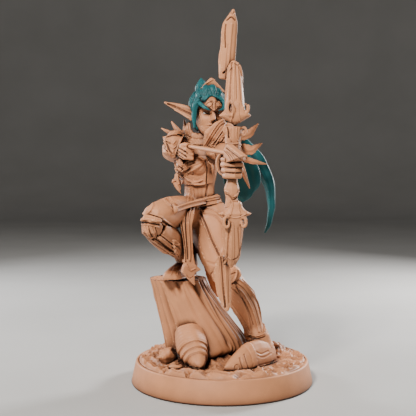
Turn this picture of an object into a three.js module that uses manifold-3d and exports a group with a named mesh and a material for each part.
// Tabletop miniature: an elf archer with one boot up on a tree stump, drawing a bow, on a round 25 mm
// gaming base.
//
// Millimetres, +Z up. The origin is the centre of the base's flat underside, and the archer aims towards -Y.
// "left" and "right" are the archer's own. Every casting is its own closed solid. The castings meet as a
// multi-part kit does: pegs run into sockets, and plates sit over the limb that they cover, GAP apart.

import * as THREE from "three";
import { mergeVertices } from "three/addons/utils/BufferGeometryUtils.js";
import Module from "manifold-3d";

const wasm = await Module();
wasm.setup();

// ---------------------------------------------------------------- driving dimensions

const BASE_RADIUS = 12.5; // a 25 mm round gaming base
const BASE_TOP_RADIUS = 11.85;
const BASE_HEIGHT = 3.1;
const GROUND_RADIUS = 11.45; // the sculpted ground sits in a recess inside the base's rim
const GROUND_BOTTOM = 2.3;
const GROUND_TOP = 3.25;
const GAP = 0.04; // glue line between two castings
const PEG_RADIUS = 0.45;
const STUMP_TOP = 14.3; // where the trunk was sawn across

const CHEST_TURN = 35; // degrees that the chest is turned to the archer's right
const HEAD_TURN = -14; // degrees that the head is turned to the archer's left

const SIDES = 10; // facets round a limb
const STEPS = 1; // rings between two stations of a limb

// ---------------------------------------------------------------- materials

const resin = new THREE.MeshStandardMaterial({ color: 0xc48f72, roughness: 0.55, metalness: 0 });
const tealPaint = new THREE.MeshStandardMaterial({ color: 0x1f6f73, roughness: 0.5, metalness: 0 });

// ---------------------------------------------------------------- small helpers

const vec = (x, y, z) => new THREE.Vector3(x, y, z);
const radians = THREE.MathUtils.degToRad;

// The level direction that points to the archer's left when the body is turned by `turn` degrees.
const sideways = (turn) => [Math.cos(radians(turn)), -Math.sin(radians(turn)), 0];

// A point on the level ellipse-like grid of a turned body: `side` towards its left, `back` towards its back.
function turned(centre, turn, side, back) {
  const [lx, ly] = sideways(turn);
  return [centre[0] + lx * side - ly * back, centre[1] + ly * side + lx * back];
}

function solidOf(geometry) {
  const bare = geometry.index ? geometry.toNonIndexed() : geometry.clone();
  bare.deleteAttribute("normal");
  bare.deleteAttribute("uv");
  const merged = mergeVertices(bare, 1e-4);
  return new wasm.Manifold(
    new wasm.Mesh({
      numProp: 3,
      vertProperties: new Float32Array(merged.attributes.position.array),
      triVerts: new Uint32Array(merged.index.array),
    }),
  );
}

function geometryOf(solid) {
  const mesh = solid.getMesh();
  const points = new Float32Array(mesh.numVert * 3);
  for (let i = 0; i < mesh.numVert; i++) {
    points.set(mesh.vertProperties.subarray(i * mesh.numProp, i * mesh.numProp + 3), i * 3);
  }
  return new THREE.BufferGeometry()
    .setAttribute("position", new THREE.BufferAttribute(points, 3))
    .setIndex(new THREE.BufferAttribute(new Uint32Array(mesh.triVerts), 1));
}

// The solid with its surface pushed out by `distance`, which is what a neighbour is cut with.
function grown(solid, distance) {
  const geometry = geometryOf(solid);
  geometry.computeVertexNormals();
  const { position, normal } = geometry.attributes;
  for (let i = 0; i < position.count; i++) {
    position.setXYZ(
      i,
      position.getX(i) + normal.getX(i) * distance,
      position.getY(i) + normal.getY(i) * distance,
      position.getZ(i) + normal.getZ(i) * distance,
    );
  }
  return solidOf(geometry);
}

// ---------------------------------------------------------------- shapes

// A closed skin through stations [x, y, z, a, b]: the section's half-size is `a` along `across` and `b`
// across that.
// `power` 2 is an ellipse and 4 a rounded rectangle; `dome` rounds the ends by that share of their half-size.
function loft(stations, { across = [1, 0, 0], sides = SIDES, steps = STEPS, power = 2, dome = 0.5 } = {}) {
  const path = new THREE.CatmullRomCurve3(stations.map((s) => vec(s[0], s[1], s[2])));
  const sizes = new THREE.CatmullRomCurve3(stations.map((s) => vec(s[3], s[4], 0)));
  const rings = [];
  const last = (stations.length - 1) * steps;
  for (let i = 0; i <= last; i++) {
    const t = i / last;
    const size = sizes.getPoint(t);
    rings.push({ at: path.getPoint(t), along: path.getTangent(t), a: size.x, b: size.y });
  }
  const addEnd = (ring, sign) => {
    const reach = dome * Math.min(ring.a, ring.b);
    const shoulder = { ...ring, at: ring.at.clone().addScaledVector(ring.along, sign * reach * 0.7) };
    return [
      { ...shoulder, a: ring.a * 0.72, b: ring.b * 0.72 },
      ring.at.clone().addScaledVector(ring.along, sign * reach),
    ];
  };
  const points = [];
  const faces = [];
  let startPole = rings[0].at;
  let endPole = rings[last].at;
  if (dome > 0) {
    const [startRing, startPoint] = addEnd(rings[0], -1);
    const [endRing, endPoint] = addEnd(rings[last], 1);
    rings.unshift(startRing);
    rings.push(endRing);
    startPole = startPoint;
    endPole = endPoint;
  }
  for (const { at, along, a, b } of rings) {
    const one = vec(...across);
    one.addScaledVector(along, -one.dot(along)).normalize();
    const two = vec(0, 0, 0).crossVectors(along, one);
    for (let k = 0; k < sides; k++) {
      const angle = (2 * Math.PI * k) / sides;
      const c = Math.cos(angle);
      const s = Math.sin(angle);
      const p = at
        .clone()
        .addScaledVector(one, a * Math.sign(c) * Math.abs(c) ** (2 / power))
        .addScaledVector(two, b * Math.sign(s) * Math.abs(s) ** (2 / power));
      points.push(p.x, p.y, p.z);
    }
  }
  const start = points.length / 3;
  points.push(startPole.x, startPole.y, startPole.z, endPole.x, endPole.y, endPole.z);
  for (let i = 0; i < rings.length - 1; i++) {
    for (let k = 0; k < sides; k++) {
      const [p, q] = [i * sides + k, i * sides + ((k + 1) % sides)];
      faces.push(p, q, q + sides, p, q + sides, p + sides);
    }
  }
  const top = (rings.length - 1) * sides;
  for (let k = 0; k < sides; k++) {
    faces.push(start, (k + 1) % sides, k, start + 1, top + k, top + ((k + 1) % sides));
  }
  return solidOf(
    new THREE.BufferGeometry()
      .setAttribute("position", new THREE.BufferAttribute(new Float32Array(points), 3))
      .setIndex(faces),
  );
}

function ellipsoid([x, y, z], [rx, ry, rz], detail = 12) {
  const ball = new THREE.SphereGeometry(1, detail, Math.round(detail * 0.7));
  return solidOf(ball.scale(rx, ry, rz).translate(x, y, z));
}

function rock([x, y, z], [rx, ry, rz]) {
  const stone = new THREE.DodecahedronGeometry(1).rotateX(0.5).rotateZ(0.4);
  return solidOf(stone.scale(rx, ry, rz).translate(x, y, z));
}

function box([x0, y0, z0], [x1, y1, z1]) {
  const block = new THREE.BoxGeometry(x1 - x0, y1 - y0, z1 - z0);
  return solidOf(block.translate((x0 + x1) / 2, (y0 + y1) / 2, (z0 + z1) / 2));
}

// A round peg that runs from one casting into the next.
function peg(from, to, radius = PEG_RADIUS) {
  const ends = [from, to].map((end) => [...end, radius, radius]);
  return loft(ends, { sides: 6, dome: 0, across: [0.3, 0.9, 0.3] });
}

// A flat outline [u, v] extruded to `thickness`, its u axis along `uAxis` and its v axis along `vAxis`,
// centred on `at`.
function plate(outline, thickness, at, uAxis, vAxis) {
  const shape = new THREE.Shape(outline.map(([u, v]) => new THREE.Vector2(u, v)));
  const slab = new THREE.ExtrudeGeometry(shape, { depth: thickness, bevelEnabled: false });
  slab.translate(0, 0, -thickness / 2);
  const u = vec(...uAxis).normalize();
  const v = vec(...vAxis);
  v.addScaledVector(u, -v.dot(u)).normalize();
  const w = vec(0, 0, 0).crossVectors(u, v);
  return solidOf(slab.applyMatrix4(new THREE.Matrix4().makeBasis(u, v, w).setPosition(...at)));
}

// A curved thorn or leaf blade from its root to its tip, `wide` across and thin.
function thorn(root, bend, tip, wide, across) {
  return loft(
    [
      [...root, wide, 0.3],
      [...bend, wide * 0.8, 0.26],
      [...tip, 0.1, 0.1],
    ],
    { across, sides: 8, dome: 0.3 },
  );
}

// ---------------------------------------------------------------- head and hair

const HEAD = [-1.85, 0.8]; // the head's upright axis, seen from above
const headSide = sideways(HEAD_TURN);

// A point in the turned head's own frame: `side` to its left, `back` to its back, at height z.
const onHead = (side, back, z) => [...turned(HEAD, HEAD_TURN, side, back), z];

function head() {
  const skull = loft(
    [
      [...onHead(0, -2.0, 33.75), 0.65, 0.55],
      [...onHead(0, -1.3, 34.5), 1.35, 1.35],
      [...onHead(0, -0.7, 35.4), 1.75, 1.95],
      [...onHead(0, -0.1, 36.6), 2.0, 2.4],
      [...onHead(0, 0.2, 37.8), 2.1, 2.55],
      [...onHead(0, 0.4, 38.8), 1.8, 2.2],
      [...onHead(0, 0.5, 39.5), 1.05, 1.3],
    ],
    { across: headSide },
  );
  const nose = loft(
    [
      [...onHead(0, -2.3, 37.3), 0.22, 0.25],
      [...onHead(0, -2.75, 36.3), 0.32, 0.4],
      [...onHead(0, -2.55, 35.95), 0.35, 0.3],
    ],
    { across: headSide, sides: 8 },
  );
  const neck = loft(
    [
      [-2.75, 1.5, 31.6, 1.0, 1.0],
      [-2.5, 1.35, 33.2, 1.05, 1.1],
      [-2.1, 1.1, 35.0, 1.1, 1.2],
    ],
    { across: headSide, dome: 0 },
  );
  return skull.add(nose).add(neck);
}

function ear(sign) {
  return loft(
    [
      [...onHead(sign * 1.9, 0.5, 36.7), 0.95, 0.35],
      [...onHead(sign * 3.0, 0.9, 37.3), 0.8, 0.3],
      [...onHead(sign * 4.4, 1.35, 37.9), 0.5, 0.22],
      [...onHead(sign * 5.9, 1.6, 38.45), 0.12, 0.1],
    ],
    { across: [0, 0, 1], sides: 8, dome: 0.2 },
  );
}

function hairCap() {
  const cap = loft(
    [
      [...onHead(0, 1.6, 34.9), 1.7, 1.2],
      [...onHead(0, 1.2, 36.2), 2.3, 1.9],
      [...onHead(0, 0.6, 37.6), 2.6, 2.75],
      [...onHead(0, 0.4, 38.8), 2.4, 2.75],
      [...onHead(0, 0.5, 39.8), 1.7, 2.0],
    ],
    { across: headSide, sides: 10 },
  );
  const faceWindow = loft(
    [
      [...onHead(0, -3.6, 34.0), 3.2, 2.6],
      [...onHead(0, -3.4, 37.4), 2.1, 1.9],
      [...onHead(0, -3.3, 38.6), 1.5, 1.3],
    ],
    { across: headSide, sides: 8, dome: 0 },
  );
  return cap.subtract(faceWindow);
}

const topKnot = () =>
  loft([
    [-2.7, 2.5, 39.6, 1.0, 1.0],
    [-3.0, 2.8, 40.8, 0.9, 0.95],
    [-2.75, 2.95, 42.0, 0.2, 0.2],
  ]);

// A lock of hair that frames the face.
const faceLock = (points, wide) =>
  loft(
    points.map(([side, back, z], i) => [
      ...onHead(side, back, z),
      wide * [0.7, 1, 0.85, 0.25][i],
      wide * 0.7 * [0.7, 1, 0.85, 0.3][i],
    ]),
    { across: headSide, sides: 8 },
  );

const rightSideLock = () =>
  faceLock([[-1.7, -1.9, 38.6], [-2.3, -1.5, 37.6], [-2.35, -1.3, 36.3], [-2.25, -1.35, 34.8]], 0.5);
const leftSideLock = () =>
  faceLock([[1.7, -1.9, 38.6], [2.35, -1.5, 37.6], [2.4, -1.3, 36.3], [2.35, -1.3, 35.0]], 0.5);

const PONYTAIL = [
  [-1.2, 3.6, 38.6, 1.1, 0.9],
  [-0.3, 5.0, 36.8, 1.35, 0.95],
  [1.3, 5.8, 34.2, 1.45, 0.9],
  [3.6, 6.2, 31.6, 1.5, 0.8],
  [5.9, 6.4, 29.6, 1.35, 0.75],
  [7.05, 6.4, 26.9, 1.05, 0.7],
  [7.3, 6.3, 23.7, 0.75, 0.55],
  [6.9, 6.2, 21.3, 0.5, 0.4],
  [6.2, 6.0, 19.8, 0.15, 0.15],
];

const ponytail = () => loft(PONYTAIL, { across: [0.75, 0, 0.66] });

const ponytailCurl = () =>
  loft(
    [
      [1.1, 5.3, 33.0, 1.1, 0.6],
      [2.1, 5.0, 31.0, 2.1, 0.75],
      [2.7, 4.7, 28.6, 2.85, 0.8],
      [3.0, 4.5, 26.6, 2.75, 0.75],
      [3.1, 4.4, 25.2, 1.9, 0.6],
      [3.2, 4.4, 24.7, 0.8, 0.3],
    ],
    { across: [0.97, 0, 0.25] },
  );

// The circlet's plate on the brow, and the comb that stands on the hair behind it.
const browPlate = () =>
  loft(
    [
      [...onHead(0, -2.4, 37.2), 0.2, 0.25],
      [...onHead(0, -2.5, 37.9), 0.75, 0.4],
      [...onHead(0, -2.35, 38.5), 1.25, 0.45],
      [...onHead(0, -2.05, 39.3), 0.3, 0.3],
    ],
    { across: headSide, sides: 8, power: 1.7, dome: 0.2 },
  );

const comb = () =>
  plate(
    [[-1.9, -0.6], [-1.75, -0.75], [0, -0.35], [1.75, -0.75], [1.9, -0.6], [0.15, 1.25], [-0.15, 1.25]],
    0.6,
    onHead(0.35, -0.1, 40.5),
    headSide,
    [0, 0.1, 1],
  );

// ---------------------------------------------------------------- torso and hips

const CHEST = [-3.1, 1.1];
const chestSide = sideways(CHEST_TURN);
const onChest = (side, back, z) => [...turned(CHEST, CHEST_TURN, side, back), z];

const torso = () =>
  loft(
    [
      [...onChest(0, 0, 25.5), 2.35, 1.85],
      [...onChest(0, 0, 26.8), 2.2, 1.7],
      [...onChest(0, -0.1, 28.2), 2.6, 1.95],
      [...onChest(0, -0.2, 29.8), 3.0, 2.1],
      [...onChest(0, 0, 31.3), 3.2, 1.9],
      [...onChest(0, 0.2, 32.3), 2.7, 1.5],
      [...onChest(0, 0.3, 33.0), 1.5, 1.1],
    ],
    { across: chestSide, dome: 0.3 },
  );

function breastplate() {
  const shell = loft(
    [
      [...onChest(0, -0.25, 27.4), 2.45, 1.85],
      [...onChest(0, -0.45, 28.6), 2.75, 2.15],
      [...onChest(0, -0.5, 29.8), 3.05, 2.2],
      [...onChest(0, -0.45, 31.0), 2.75, 1.95],
    ],
    { across: chestSide, dome: 0.15 },
  );
  const cups = ellipsoid(onChest(-1.15, -1.75, 29.7), [1.35, 1.35, 1.35], 10).add(
    ellipsoid(onChest(1.15, -1.75, 29.7), [1.35, 1.35, 1.35], 10),
  );
  const back = loft([[...onChest(0, 1.9, 26.5), 4, 1.6], [...onChest(0, 1.9, 32.5), 4, 1.6]], {
    across: chestSide,
    power: 4,
    dome: 0,
  });
  const sideLeaves = [
    [[-2.1, -0.7, 31.3], [-3.3, -0.9, 30.1], [-3.0, -0.9, 28.6]],
    [[-2.2, -0.7, 28.9], [-3.15, -0.9, 28.3], [-2.55, -0.9, 26.4]],
  ].map((places) => thorn(...places.map((place) => onChest(...place)), 0.7, [0.9, -0.5, 0]));
  return wasm.Manifold.union([shell.add(cups).subtract(back), ...sideLeaves]);
}

const pelvis = () =>
  loft(
    [
      [-3.1, 1.2, 25.2, 2.35, 1.85],
      [-3.05, 1.2, 24.3, 2.75, 2.1],
      [-3.05, 1.1, 23.2, 3.1, 2.35],
      [-3.1, 1.0, 22.1, 2.9, 2.3],
      [-3.3, 0.9, 21.2, 1.9, 1.7],
    ],
    { across: sideways(20) },
  );

const belt = () =>
  loft(
    [
      [-3.0, 1.15, 24.15, 3.25, 2.65],
      [-3.25, 1.15, 25.25, 2.85, 2.35],
    ],
    { across: sideways(20), sides: 16, dome: 0 },
  );

// Cloth that hangs from the belt, as thick castings with the outline of the panel.
const TABARD_ACROSS = [1, 0.5, 0];

const frontTabard = () =>
  loft(
    [
      [-4.2, -2.5, 24.6, 1.2, 0.34],
      [-4.25, -3.75, 23.5, 1.1, 0.36],
      [-4.45, -4.35, 22.0, 0.85, 0.34],
      [-4.5, -4.35, 20.0, 0.7, 0.32],
      [-4.5, -4.2, 18.0, 0.65, 0.32],
      [-4.4, -4.15, 16.4, 0.9, 0.32],
    ],
    { across: TABARD_ACROSS, sides: 8, power: 5, dome: 0 },
  );

// The tabard's foot flares to one side and runs out in a long point.
const tabardTip = () =>
  plate(
    [[-0.85, 0.5], [0.9, 0.5], [1.8, -0.2], [0.8, -0.6], [1.0, -2.4], [-0.1, -1.35], [-1.05, -0.35]],
    0.6,
    [-4.5, -4.2, 16.1],
    TABARD_ACROSS,
    [0, -0.12, 1],
  );

const rearTabard = () =>
  loft(
    [
      [-2.1, 3.75, 24.4, 1.5, 0.28],
      [-1.7, 4.25, 21.5, 1.65, 0.28],
      [-1.45, 4.35, 18.0, 1.6, 0.28],
      [-1.15, 4.05, 14.5, 1.25, 0.26],
      [-0.7, 3.6, 11.0, 0.35, 0.24],
    ],
    { across: [1, 0.25, 0], sides: 8, power: 5, dome: 0 },
  );

const hipTasset = () =>
  loft(
    [
      [-5.75, 0.1, 25.2, 1.2, 0.3],
      [-7.0, -0.9, 24.9, 1.35, 0.3],
      [-7.8, -1.9, 24.0, 0.6, 0.25],
    ],
    { across: [-0.3, 0.9, 0], sides: 8, power: 3, dome: 0.3 },
  );

// ---------------------------------------------------------------- legs

const LEFT_KNEE = [0.4, -2.8, 15.1];
const RIGHT_KNEE = [-9.15, -7.6, 22.5];

const leftThigh = () =>
  loft([
    [-1.6, 0.9, 24.0, 2.1, 2.2],
    [-1.4, 0.6, 22.8, 2.85, 2.7],
    [-1.25, 0.0, 20.9, 3.0, 2.75],
    [-0.95, -0.9, 18.9, 2.8, 2.5],
    [-0.5, -1.8, 17.2, 2.4, 2.15],
    [0.05, -2.6, 15.6, 1.95, 1.8],
  ]);

const LEFT_SHIN = [
  [0.7, -2.7, 14.6, 1.45, 1.45],
  [1.4, -2.5, 13.4, 1.6, 1.7],
  [2.6, -2.2, 11.8, 1.6, 1.75],
  [3.5, -1.95, 9.9, 1.25, 1.4],
  [4.2, -1.75, 8.0, 1.0, 1.1],
  [4.9, -1.9, 6.0, 0.95, 1.0],
];

const RIGHT_SHIN = [
  [-8.75, -6.9, 21.7, 1.35, 1.35],
  [-8.15, -5.9, 21.0, 1.5, 1.55],
  [-7.25, -4.5, 20.1, 1.5, 1.6],
  [-6.3, -3.0, 19.1, 1.2, 1.25],
  [-5.5, -1.7, 18.1, 0.95, 1.0],
  [-5.0, -0.8, 17.2, 0.9, 0.95],
];

const rightThigh = () =>
  loft(
    [
      [-4.5, 0.4, 23.1, 2.35, 2.35],
      [-5.7, -1.6, 23.4, 2.3, 2.3],
      [-7.0, -3.9, 23.45, 2.25, 2.2],
      [-8.2, -6.1, 23.3, 1.95, 1.9],
      [-8.95, -7.4, 23.0, 1.6, 1.55],
    ],
    { across: [0, 0, 1] },
  );

// A greave is the shin's own form, `proud` thicker, flared at its foot.
function greave(stations, proud, flare) {
  const plates = stations.slice(0, -1).map(([x, y, z, a, b]) => [x, y, z, a + proud, b + proud]);
  const [x, y, z, a, b] = stations[stations.length - 1];
  const [px, py, pz] = stations[stations.length - 2];
  const mix = 0.75;
  const foot = [px + (x - px) * mix, py + (y - py) * mix, pz + (z - pz) * mix, a + flare, b + flare];
  return loft([...plates, foot], { dome: 0.05, sides: 12 });
}

const kneeCop = ([x, y, z], [rx, ry, rz], forward) =>
  ellipsoid([x + forward[0], y + forward[1], z + forward[2]], [rx, ry, rz], 12);

const sole = (foot) =>
  loft(
    foot.map(([x, y, z, a, b]) => [x, y, z - a - 0.05, 0.22, b * 0.92 + 0.08]),
    { across: [0, 0, 1], sides: 8, power: 4, dome: 0 },
  );

// A boot's foot through [x, y, z, half-height, half-width], with its sole, the shaft above it and a peg
// below.
function boot(foot, shaft, pegTo) {
  const [x, y, z] = foot[1];
  return loft(foot, { across: [0, 0, 1], sides: 8, power: 2.6, dome: 0.35 })
    .add(sole(foot))
    .add(loft(shaft, { sides: 8, dome: 0 }))
    .add(peg([x, y, z], pegTo));
}

const LEFT_FOOT = [
  [6.75, -2.2, 4.2, 0.8, 0.8],
  [5.9, -2.9, 4.5, 1.3, 1.3],
  [4.6, -4.2, 4.5, 1.35, 1.5],
  [3.2, -5.6, 4.3, 1.2, 1.5],
  [1.9, -6.9, 4.0, 0.9, 1.25],
  [0.8, -7.95, 3.65, 0.5, 0.6],
];
const LEFT_SHAFT = [
  [4.75, -1.8, 6.9, 1.15, 1.2],
  [5.2, -2.1, 5.5, 1.25, 1.3],
  [5.45, -2.4, 4.3, 1.15, 1.2],
];
const RIGHT_FOOT = [
  [-4.15, 1.25, 15.25, 0.7, 0.7],
  [-4.6, 0.5, 15.5, 1.1, 1.0],
  [-5.3, -0.7, 15.45, 1.05, 1.1],
  [-6.05, -1.9, 15.3, 0.8, 1.05],
  [-6.75, -3.0, 15.3, 0.55, 0.85],
  [-7.35, -3.9, 15.5, 0.3, 0.4],
];
const RIGHT_SHAFT = [
  [-5.1, -1.0, 18.2, 1.15, 1.2],
  [-4.85, -0.5, 16.9, 1.15, 1.25],
  [-4.9, -0.2, 15.7, 1.15, 1.15],
];

// The plate over the toes follows the front half of the foot.
const toeCap = (foot, proud) =>
  loft(
    foot.slice(2).map(([x, y, z, a, b], i) => {
      const over = proud * (i < 3 ? 1 : 0.5);
      return [x, y, z + proud * 0.6, a + over, b + over];
    }),
    { across: [0, 0, 1], sides: 8, power: 2.6, dome: 0.35 },
  );

// ---------------------------------------------------------------- arms and shoulders

const leftUpperArm = () =>
  loft([
    [-0.7, -0.3, 32.2, 1.35, 1.35],
    [0.0, -2.2, 31.8, 1.25, 1.25],
    [0.6, -4.4, 31.3, 1.05, 1.05],
  ]);

const leftForearm = () =>
  loft([
    [0.6, -4.7, 31.2, 1.05, 1.05],
    [0.85, -6.4, 30.8, 1.1, 1.1],
    [1.0, -9.0, 30.2, 0.8, 0.8],
  ], { dome: 0.2 });

const leftBracer = () =>
  loft(
    [
      [0.75, -5.7, 30.95, 1.3, 1.3],
      [0.88, -7.2, 30.6, 1.25, 1.25],
      [0.97, -8.5, 30.3, 1.5, 1.5],
    ],
    { sides: 12, dome: 0.05 },
  );

const rightUpperArm = () =>
  loft([
    [-5.5, 1.7, 32.6, 1.25, 1.25],
    [-6.8, 4.2, 32.5, 1.15, 1.15],
    [-7.7, 6.3, 32.2, 0.95, 0.95],
  ]);

const rightForearm = () =>
  loft([
    [-7.75, 6.5, 31.7, 0.95, 0.95],
    [-6.9, 4.2, 31.3, 1.05, 1.05],
    [-5.8, 1.4, 31.3, 0.85, 0.85],
    [-5.3, -0.4, 31.5, 0.7, 0.7],
  ], { dome: 0.2 });

// The fist round the bow's grip: four stacked fingers, the thumb and the back of the hand.
function leftHand() {
  let fist = loft(
    [
      [1.05, -9.0, 30.1, 0.8, 0.9],
      [1.1, -10.1, 29.75, 1.35, 1.45],
      [1.1, -10.8, 29.65, 1.3, 1.4],
    ],
    { sides: 8, power: 3, dome: 0.3 },
  );
  for (let finger = 0; finger < 4; finger++) {
    const z = 30.55 - finger * 0.68;
    const reach = [0.05, 0, 0.1, 0.25][finger];
    fist = fist.add(
      loft(
        [
          [-0.15 + reach, -10.8, z, 0.36, 0.36],
          [0.25 + reach * 0.5, -11.75, z, 0.36, 0.36],
          [1.3, -12.05, z, 0.36, 0.36],
          [2.3 - reach, -11.45, z, 0.36, 0.36],
        ],
        { across: [0, 0, 1], sides: 6, dome: 0.3 },
      ),
    );
  }
  const thumb = loft(
    [
      [2.35, -10.2, 30.6, 0.42, 0.42],
      [2.2, -11.3, 31.0, 0.4, 0.4],
      [1.3, -12.1, 31.15, 0.33, 0.33],
    ],
    { across: [0, 0, 1], sides: 8 },
  );
  return fist.add(thumb).add(peg([1.05, -9.5, 30.05], [0.97, -7.9, 30.45]));
}

// The drawing hand, with the fingers hooked under the arrow's nock.
function rightHand() {
  let hand = loft(
    [
      [-5.3, -0.4, 31.6, 0.7, 0.75],
      [-5.15, -1.4, 31.75, 0.8, 1.15],
      [-5.0, -2.3, 31.8, 0.75, 1.1],
    ],
    { sides: 8, power: 3, dome: 0.4 },
  );
  for (let finger = 0; finger < 4; finger++) {
    const z = 32.55 - finger * 0.56;
    hand = hand.add(
      loft(
        [
          [-5.3, -2.3, z, 0.3, 0.3],
          [-4.75, -3.05, z - 0.05, 0.3, 0.3],
          [-4.05, -2.9, z - 0.15, 0.28, 0.28],
          [-4.0, -2.2, z - 0.2, 0.26, 0.26],
        ],
        { across: [0, 0, 1], sides: 6, dome: 0.3 },
      ),
    );
  }
  return hand.add(peg([-5.3, -0.6, 31.55], [-5.75, 1.0, 31.35], 0.35));
}

// A shoulder plate is a dome over the shoulder, open below and towards the neck.
function pauldron(centre, size, across, lip) {
  const [x, y, z] = centre;
  const [a, b, h] = size;
  return loft(
    [
      [x, y, z - h * 0.55, a + lip, b + lip],
      [x, y, z - h * 0.3, a, b],
      [x, y, z + h * 0.2, a * 0.92, b * 0.92],
      [x, y, z + h * 0.7, a * 0.55, b * 0.55],
    ],
    { across, dome: 0.4, sides: 10 },
  );
}

const leftPauldron = () => pauldron([0.25, -1.2, 33.0], [2.35, 2.0, 3.1], [0.95, 0.2, 0.35], 0.25);
const leftShoulderLeaf = () =>
  loft(
    [
      [-2.2, -2.0, 32.3, 0.5, 0.25],
      [-1.3, -2.9, 33.6, 1.4, 0.3],
      [-0.3, -2.9, 35.0, 1.0, 0.28],
      [0.1, -2.5, 35.9, 0.2, 0.15],
    ],
    { across: [0.7, 0.3, -0.5], sides: 8, dome: 0.2 },
  );

const LEFT_THORNS = [
  { root: [2.2, 0.3, 33.6], bend: [3.8, 0.6, 34.2], tip: [5.05, 0.9, 35.6], wide: 0.75 },
  { root: [2.4, 0.2, 32.0], bend: [4.1, 0.5, 31.9], tip: [5.6, 0.9, 32.9], wide: 0.8 },
  { root: [2.3, 0.3, 30.9], bend: [4.3, 0.7, 30.3], tip: [6.3, 1.3, 29.95], wide: 0.5 },
  { root: [2.1, -1.9, 30.6], bend: [2.9, -1.9, 28.7], tip: [3.75, -1.4, 26.6], wide: 0.6 },
];
const RIGHT_THORNS = [
  { root: [-6.4, 2.6, 33.9], bend: [-7.4, 2.8, 34.4], tip: [-8.5, 2.8, 35.0], wide: 0.4 },
  { root: [-5.6, 3.0, 34.1], bend: [-6.4, 3.3, 34.9], tip: [-7.1, 3.5, 36.0], wide: 0.5 },
  { root: [-4.8, 2.9, 34.0], bend: [-5.1, 3.3, 35.1], tip: [-5.3, 3.4, 36.3], wide: 0.5 },
];

function rightPauldron() {
  const dome = pauldron([-6.45, 1.7, 32.75], [1.65, 1.95, 2.2], [0.9, -0.4, 0.1], 0.1);
  const thorns = RIGHT_THORNS.map((t) => thorn(t.root, t.bend, t.tip, t.wide, [0.5, 0.2, 1]));
  return wasm.Manifold.union([dome, ...thorns]);
}

// The collar is a band of overlapping leaves round the neck.
const collar = () =>
  loft(
    [
      [-2.75, 1.4, 32.5, 2.6, 2.0],
      [-2.65, 1.4, 33.4, 2.15, 1.75],
      [-2.55, 1.4, 34.1, 2.0, 1.65],
    ],
    { across: chestSide, sides: 10, dome: 0 },
  ).subtract(
    loft([[-2.5, 1.3, 33.2, 1.4, 1.2], [-2.45, 1.2, 34.6, 1.6, 1.35]], { across: chestSide, dome: 0 }),
  );

const collarLeaf = () =>
  thorn([-4.4, 1.5, 33.6], [-4.75, 1.6, 34.8], [-4.45, 1.8, 35.9], 0.85, [0.8, -0.5, 0.2]);

// ---------------------------------------------------------------- bow and arrow

const bowGrip = () =>
  loft(
    [
      [1.05, -10.9, 24.6, 0.95, 0.6],
      [1.0, -10.95, 25.8, 0.75, 0.55],
      [1.0, -10.95, 26.9, 1.0, 0.65],
      [1.05, -10.95, 27.8, 0.7, 0.55],
      [1.05, -10.9, 29.6, 0.65, 0.55],
      [1.05, -10.9, 31.2, 0.75, 0.6],
      [1.1, -10.85, 32.6, 0.95, 0.65],
      [1.2, -10.8, 34.6, 1.15, 0.75],
    ],
    { sides: 8, dome: 0 },
  );

// A flared guard where the riser meets the limb: `sign` 1 above the grip and -1 below it.
const bowGuard = (sign, z, y) =>
  loft(
    [
      [1.35, y, z - sign * 0.45, 1.25, 0.9],
      [1.4, y, z, 1.95, 1.2],
      [1.4, y, z + sign * 0.5, 1.55, 1.05],
      [1.4, y, z + sign * 1.4, 1.25, 0.95],
    ],
    { sides: 8, power: 1.7, dome: 0.05 },
  );

const upperSocket = () =>
  loft(
    [
      [1.4, -10.75, 36.2, 1.2, 0.85],
      [1.4, -10.5, 38.0, 1.15, 0.8],
      [1.35, -10.1, 40.3, 1.05, 0.75],
      [1.3, -9.75, 42.0, 0.85, 0.65],
      [1.25, -9.6, 42.7, 0.35, 0.4],
    ],
    { sides: 8, power: 2.4, dome: 0.2 },
  );

const upperBlade = () =>
  loft(
    [
      [0.15, -8.85, 40.6, 0.75, 0.4],
      [0.35, -8.85, 41.8, 1.0, 0.5],
      [0.45, -8.95, 43.3, 1.1, 0.5],
      [0.75, -9.15, 45.5, 0.95, 0.45],
      [1.05, -9.45, 47.5, 0.75, 0.4],
      [1.2, -9.8, 49.1, 0.15, 0.15],
    ],
    { sides: 8, power: 1.7, dome: 0.1 },
  );

const lowerSocket = () =>
  loft(
    [
      [1.25, -10.85, 23.0, 1.3, 0.9],
      [1.2, -10.6, 22.0, 1.3, 0.9],
      [1.15, -10.3, 20.2, 1.2, 0.8],
      [1.05, -9.95, 18.4, 1.0, 0.7],
      [0.95, -9.7, 17.0, 0.2, 0.3],
    ],
    { sides: 8, power: 2.4, dome: 0.1 },
  );

const lowerBlade = () =>
  loft(
    [
      [-0.35, -8.85, 18.3, 0.45, 0.35],
      [-0.1, -8.85, 17.1, 1.05, 0.5],
      [-0.1, -8.95, 15.7, 1.1, 0.5],
      [0.1, -9.15, 13.7, 0.95, 0.45],
      [0.4, -9.4, 12.1, 0.6, 0.35],
      [0.5, -9.6, 11.4, 0.2, 0.2],
    ],
    { sides: 8, power: 1.7, dome: 0.2 },
  );

// Tangs tie each limb's blade to the socket in front of it.
const upperTang = () => peg([1.25, -10.0, 41.2], [0.5, -8.9, 41.6], 0.3);
const lowerTang = () => peg([1.0, -10.0, 18.3], [0.1, -8.9, 17.4], 0.3);

const NOCK = [-4.5, -2.9, 32.35];
const ARROW_FRONT = [0.35, -11.35, 31.35];
const arrowAim = ARROW_FRONT.map((n, i) => n - NOCK[i]);

const arrowShaft = () =>
  loft([[...NOCK, 0.26, 0.26], [...ARROW_FRONT, 0.34, 0.34]], {
    across: [0, 0, 1],
    sides: 10,
    steps: 3,
    dome: 0.2,
  });

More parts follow.
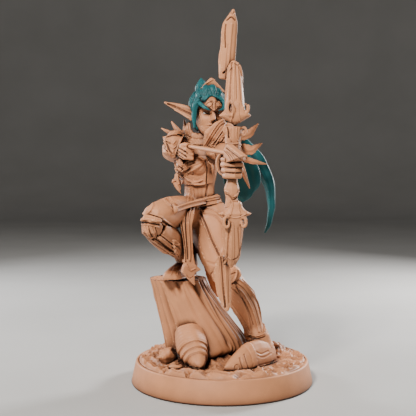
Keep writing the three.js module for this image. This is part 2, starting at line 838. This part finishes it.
const arrowHead = () =>
  plate(
    [[-0.1, -0.45], [0.6, -1.15], [4.3, 0], [0.6, 1.15], [-0.1, 0.45]],
    0.8,
    ARROW_FRONT,
    arrowAim,
    [0, 0, 1],
  );

// ---------------------------------------------------------------- stump, ground and base

function stump() {
  const trunk = loft(
    [
      [-1.6, 0.4, 2.7, 5.9, 4.4],
      [-2.4, 0.4, 4.9, 5.45, 4.0],
      [-3.9, 0.4, 8.0, 4.75, 3.6],
      [-5.3, 0.5, 11.3, 4.1, 3.4],
      [-6.5, 0.55, 14.8, 3.65, 3.4],
      [-7.1, 0.6, 16.4, 3.6, 3.4],
    ],
    { sides: 16, dome: 0 },
  );
  const sawn = box([-16, -6, STUMP_TOP], [4, 8, STUMP_TOP + 6]);
  return trunk.subtract(sawn).add(peg([-2.5, 0.5, 3.5], [-2.5, 0.5, 1.2], 1.5));
}

const rootStub = () =>
  loft(
    [
      [-4.4, -2.6, 7.6, 1.7, 1.6],
      [-3.8, -4.2, 6.3, 1.95, 1.7],
      [-3.35, -5.6, 5.1, 1.65, 1.5],
      [-3.0, -6.9, 4.3, 1.15, 1.05],
      [-2.85, -7.8, 3.7, 0.65, 0.6],
    ],
    { sides: 12 },
  );

// The ground is a disc whose top rises and falls a little.
function ground() {
  const rings = [0, 4, 8, GROUND_RADIUS];
  const spokes = 14;
  const points = [];
  const faces = [];
  const height = (r, angle) =>
    GROUND_TOP + 0.12 * Math.sin(3 * angle + r) * Math.cos(r * 0.7) - 0.15 * (r / GROUND_RADIUS) ** 6;
  points.push(0, 0, height(0, 0), 0, 0, GROUND_BOTTOM);
  for (const r of rings.slice(1)) {
    for (let k = 0; k < spokes; k++) {
      const angle = (2 * Math.PI * k) / spokes;
      points.push(r * Math.cos(angle), r * Math.sin(angle), height(r, angle));
    }
  }
  for (let k = 0; k < spokes; k++) {
    const angle = (2 * Math.PI * k) / spokes;
    points.push(GROUND_RADIUS * Math.cos(angle), GROUND_RADIUS * Math.sin(angle), GROUND_BOTTOM);
  }
  const at = (ring, k) => 2 + ring * spokes + (k % spokes);
  for (let k = 0; k < spokes; k++) {
    faces.push(0, at(0, k), at(0, k + 1), 1, at(3, k + 1), at(3, k));
    for (let ring = 0; ring < 3; ring++) {
      faces.push(at(ring, k), at(ring + 1, k), at(ring + 1, k + 1));
      faces.push(at(ring, k), at(ring + 1, k + 1), at(ring, k + 1));
    }
  }
  return solidOf(
    new THREE.BufferGeometry()
      .setAttribute("position", new THREE.BufferAttribute(new Float32Array(points), 3))
      .setIndex(faces),
  );
}

function baseDisc() {
  const recessRadius = GROUND_RADIUS + 1.5 * GAP;
  const recessFloor = GROUND_BOTTOM - 1.5 * GAP;
  const profile = [
    [0, 0],
    [BASE_RADIUS - 0.15, 0],
    [BASE_RADIUS, 0.2],
    [BASE_TOP_RADIUS, BASE_HEIGHT],
    [recessRadius, BASE_HEIGHT],
    [recessRadius, recessFloor],
    [0, recessFloor],
  ].map(([r, z]) => new THREE.Vector2(r, z));
  return solidOf(new THREE.LatheGeometry(profile, 40).rotateX(Math.PI / 2));
}

// ---------------------------------------------------------------- assembly

const GREAVE_PROUD = 0.32;
const GREAVE_FLARE = 0.75;

// [name, material, solid], from the inside out: each casting is cut back from all those above it.
const castings = [
  ["arrow_shaft", resin, arrowShaft()],
  ["arrow_head", resin, arrowHead()],
  ["bow_grip", resin, bowGrip()],
  ["bow_upper_socket", resin, upperSocket().add(upperTang())],
  ["bow_lower_socket", resin, lowerSocket().add(lowerTang())],
  ["bow_upper_guard", resin, bowGuard(1, 35.0, -10.8)],
  ["bow_lower_guard", resin, bowGuard(-1, 24.5, -10.9)],
  ["bow_upper_blade", resin, upperBlade()],
  ["bow_lower_blade", resin, lowerBlade()],
  ["left_hand", resin, leftHand()],
  ["right_hand", resin, rightHand()],
  ["head", resin, head()],
  ["brow_plate", resin, browPlate()],
  ["right_ear", resin, ear(-1)],
  ["left_ear", resin, ear(1)],
  ["comb", resin, comb()],
  ["right_side_lock", tealPaint, rightSideLock()],
  ["left_side_lock", tealPaint, leftSideLock()],
  ["hair_cap", tealPaint, hairCap()],
  ["top_knot", tealPaint, topKnot()],
  ["torso", resin, torso()],
  ["right_upper_arm", resin, rightUpperArm()],
  ["left_upper_arm", resin, leftUpperArm()],
  ["right_forearm", resin, rightForearm()],
  ["left_forearm", resin, leftForearm()],
  ["left_bracer", resin, leftBracer()],
  ["breastplate", resin, breastplate()],
  ["collar", resin, collar().add(collarLeaf())],
  ["left_shoulder_leaf", resin, leftShoulderLeaf()],
  ["right_pauldron", resin, rightPauldron()],
  ["left_pauldron", resin, leftPauldron()],
  ...LEFT_THORNS.map(({ root, bend, tip, wide }, i) => [
    `left_thorn_${i + 1}`,
    resin,
    thorn(root, bend, tip, wide, [0, 0.2, 1]),
  ]),
  ["pelvis", resin, pelvis()],
  ["belt", resin, belt()],
  ["left_thigh", resin, leftThigh()],
  ["right_thigh", resin, rightThigh()],
  ["hip_tasset", resin, hipTasset()],
  ["left_boot", resin, boot(LEFT_FOOT, LEFT_SHAFT, [5.9, -2.65, 1.3])],
  ["right_boot", resin, boot(RIGHT_FOOT, RIGHT_SHAFT, [-4.6, 0.5, 12.6])],
  ["left_toe_cap", resin, toeCap(LEFT_FOOT, 0.22)],
  ["right_toe_cap", resin, toeCap(RIGHT_FOOT, 0.2)],
  ["left_greave", resin, greave(LEFT_SHIN, GREAVE_PROUD, GREAVE_FLARE)],
  ["right_greave", resin, greave(RIGHT_SHIN, GREAVE_PROUD, 0.5)],
  ["left_knee_cop", resin, kneeCop(LEFT_KNEE, [2.1, 1.5, 1.6], [0.1, -0.6, 0.1])],
  ["right_knee_cop", resin, kneeCop(RIGHT_KNEE, [1.45, 1.4, 1.6], [0, -0.4, -0.5])],
  ["front_tabard", resin, frontTabard().add(tabardTip())],
  ["rear_tabard", resin, rearTabard()],
  ["ponytail", tealPaint, ponytail()],
  ["ponytail_curl", tealPaint, ponytailCurl()],
  ["stump", resin, stump()],
  ["root_stub", resin, rootStub()],
  ["left_rock", resin, rock([-7.4, -3.4, 4.1], [1.5, 1.3, 1.6])],
  ["right_rock", resin, rock([7.5, 4.6, 3.7], [1.0, 0.9, 0.9])],
  ["ground", resin, ground().add(rock([-5.4, -6.4, 3.6], [1.0, 0.75, 0.45]))],
  ["base_disc", resin, baseDisc()],
];

const archer = new THREE.Group();
const cutters = [];
for (const [name, material, solid] of castings) {
  const touching = cutters.filter((cutter) => solid.intersect(cutter).volume() > 0);
  const cut = touching.length > 0 ? solid.subtract(wasm.Manifold.union(touching)) : solid;
  const [largest] = cut.decompose().sort((p, q) => q.volume() - p.volume());
  cutters.push(grown(solid, GAP));
  const geometry = geometryOf(largest);
  geometry.computeBoundingBox();
  const centre = geometry.boundingBox.getCenter(vec(0, 0, 0));
  const mesh = new THREE.Mesh(geometry.translate(-centre.x, -centre.y, -centre.z), material);
  mesh.position.copy(centre);
  mesh.name = name;
  archer.add(mesh);
}

export default archer;
